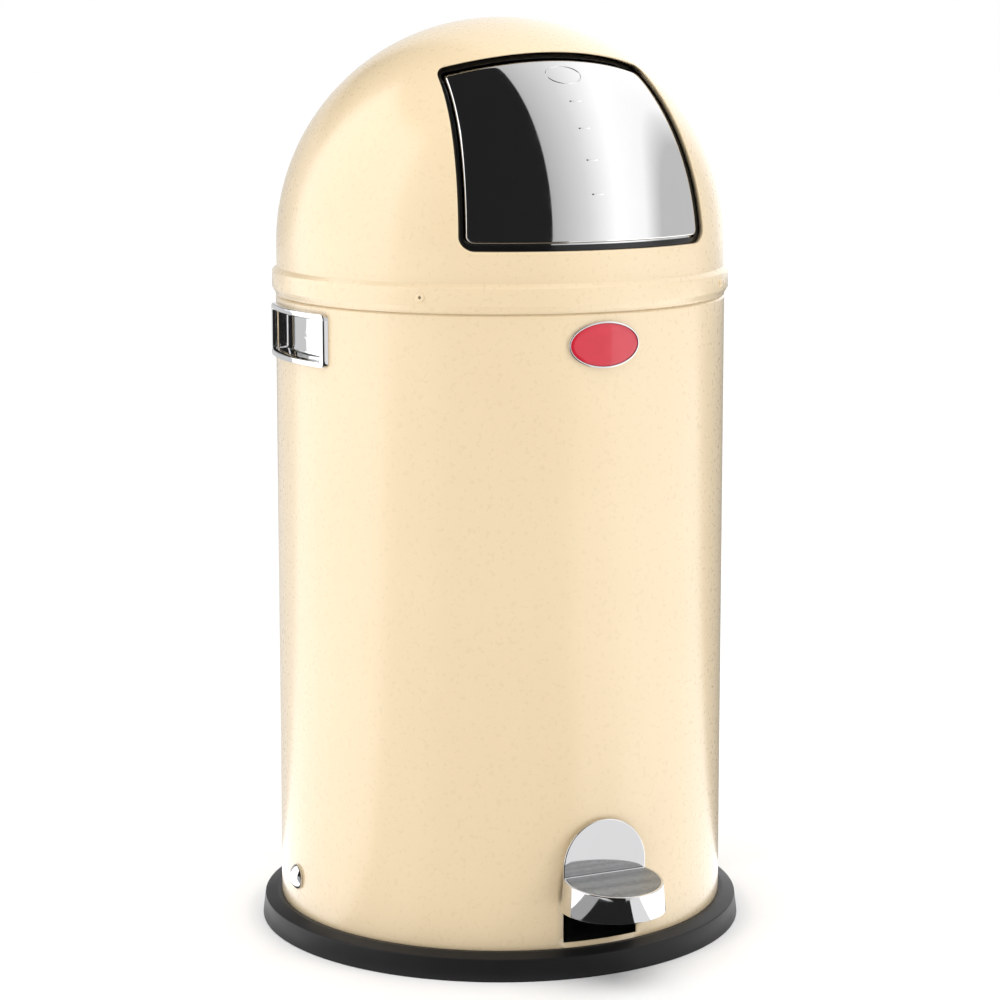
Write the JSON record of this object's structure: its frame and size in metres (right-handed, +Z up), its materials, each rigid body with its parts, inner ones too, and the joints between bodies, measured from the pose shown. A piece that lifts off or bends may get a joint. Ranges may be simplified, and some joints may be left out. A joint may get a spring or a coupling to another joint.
{
  "type": "pedal trash can",
  "caption": "Tall round pedal trash can with a domed lift-off hood, an inward-swinging polished flap worked by the pedal, side handles and an inner bucket.",
  "frame": {"origin": "on the floor, on the axis of the round body", "axes": "+Z up, -Y towards the pedal and flap at the front, +X to the right seen from the front"},
  "size_m": [0.4045, 0.4495, 0.755],
  "materials": {
    "cream_powder_coat": "gloss",
    "black_moulding": "satin",
    "chrome_plate": "mirror",
    "polished_steel": "mirror",
    "gasket_rubber": "gloss",
    "tread_metal": "fine texture",
    "badge_enamel": "gloss",
    "badge_metal": "polished",
    "zinc_steel": "zinc plated",
    "galvanised_sheet": "galvanised",
    "spring_steel": "bright",
    "black_nylon": "matte"
  },
  "bodies": {
    "shell": {"outer_shell": "cream_powder_coat", "foot_ring": "black_moulding", "ring_screws": "zinc_steel", "floor_pan": "galvanised_sheet", "shelf_posts": "zinc_steel", "bucket_shelf": "zinc_steel", "handle_right": "chrome_plate", "handle_left": "chrome_plate", "handle_nuts": "zinc_steel", "badge_rim": "badge_metal", "badge": "badge_enamel", "pedal_axle": "zinc_steel", "axle_caps": "chrome_plate", "axle_spacers": "zinc_steel", "rod_guides": "zinc_steel", "return_spring": "spring_steel", "lever_bumper": "gasket_rubber"},
    "pedal": {"pedal_casting": "chrome_plate", "tread_pad": "tread_metal", "pedal_lever": "zinc_steel", "lever_pivot_tube": "zinc_steel", "pedal_screws": "zinc_steel", "lift_pad": "black_nylon"},
    "rod": {"push_rod": "zinc_steel", "rod_tip": "black_nylon", "rod_collar": "zinc_steel"},
    "hood": {"hood": "cream_powder_coat", "flap_gasket": "gasket_rubber", "hood_rivets": "cream_powder_coat", "locating_tabs": "black_nylon", "hinge_brackets": "zinc_steel", "hinge_shaft": "zinc_steel", "shaft_clips": "zinc_steel", "lifter_guides": "zinc_steel", "flap_spring": "spring_steel"},
    "lifter": {"lifter_strip": "zinc_steel", "lifter_foot": "black_nylon", "lifter_fork": "black_nylon"},
    "flap": {"flap_panel": "polished_steel", "flap_tube": "zinc_steel", "flap_arms": "zinc_steel", "crank_arms": "zinc_steel", "crank_pin": "zinc_steel"},
    "bucket": {"bucket": "galvanised_sheet", "bail_ears": "zinc_steel"},
    "bail": {"bail_wire": "zinc_steel", "bail_grip": "black_nylon"}
  },
  "joints": [
    {"name": "pedal_press", "type": "hinge", "parent": "shell", "child": "pedal", "pos_m": [0, 0, 0.0505], "axis": [1, 0, 0], "range_deg": [0, 8], "stiffness_Nm_per_rad": 12, "springref_deg": -28.65},
    {"name": "push_rod_lift", "type": "slide", "parent": "shell", "child": "rod", "axis": [0, 0, 1], "range_m": [0, 0.0252], "deforming": ["return_spring"]},
    {"name": "hood_lift", "type": "slide", "parent": "shell", "child": "hood", "axis": [0, 0, 1], "range_m": [0, 0.96]},
    {"name": "lifter_turn", "type": "hinge", "parent": "hood", "child": "lifter", "pos_m": [0, 0, 0.5696], "axis": [1, 0, 0], "range_deg": [0, 8.2]},
    {"name": "flap_swing", "type": "hinge", "parent": "hood", "child": "flap", "pos_m": [0, -0.05568, 0.70402], "axis": [1, 0, 0], "range_deg": [0, 55.1]},
    {"name": "bucket_lift", "type": "slide", "parent": "shell", "child": "bucket", "axis": [0, 0, 1], "range_m": [0, 0.481]},
    {"name": "bail_swing", "type": "hinge", "parent": "bucket", "child": "bail", "pos_m": [0, 0, 0.494], "axis": [1, 0, 0], "range_deg": [0, 90]}
  ],
  "couplings": [
    {"joint": "push_rod_lift", "follows": "pedal_press", "m_per_rad": 0.17932},
    {"joint": "lifter_turn", "follows": "pedal_press", "ratio": 1.0142},
    {"joint": "flap_swing", "follows": "pedal_press", "ratio": 6.875},
    {"joint": "bucket_lift", "follows": "hood_lift", "ratio": 0.5}
  ]
}
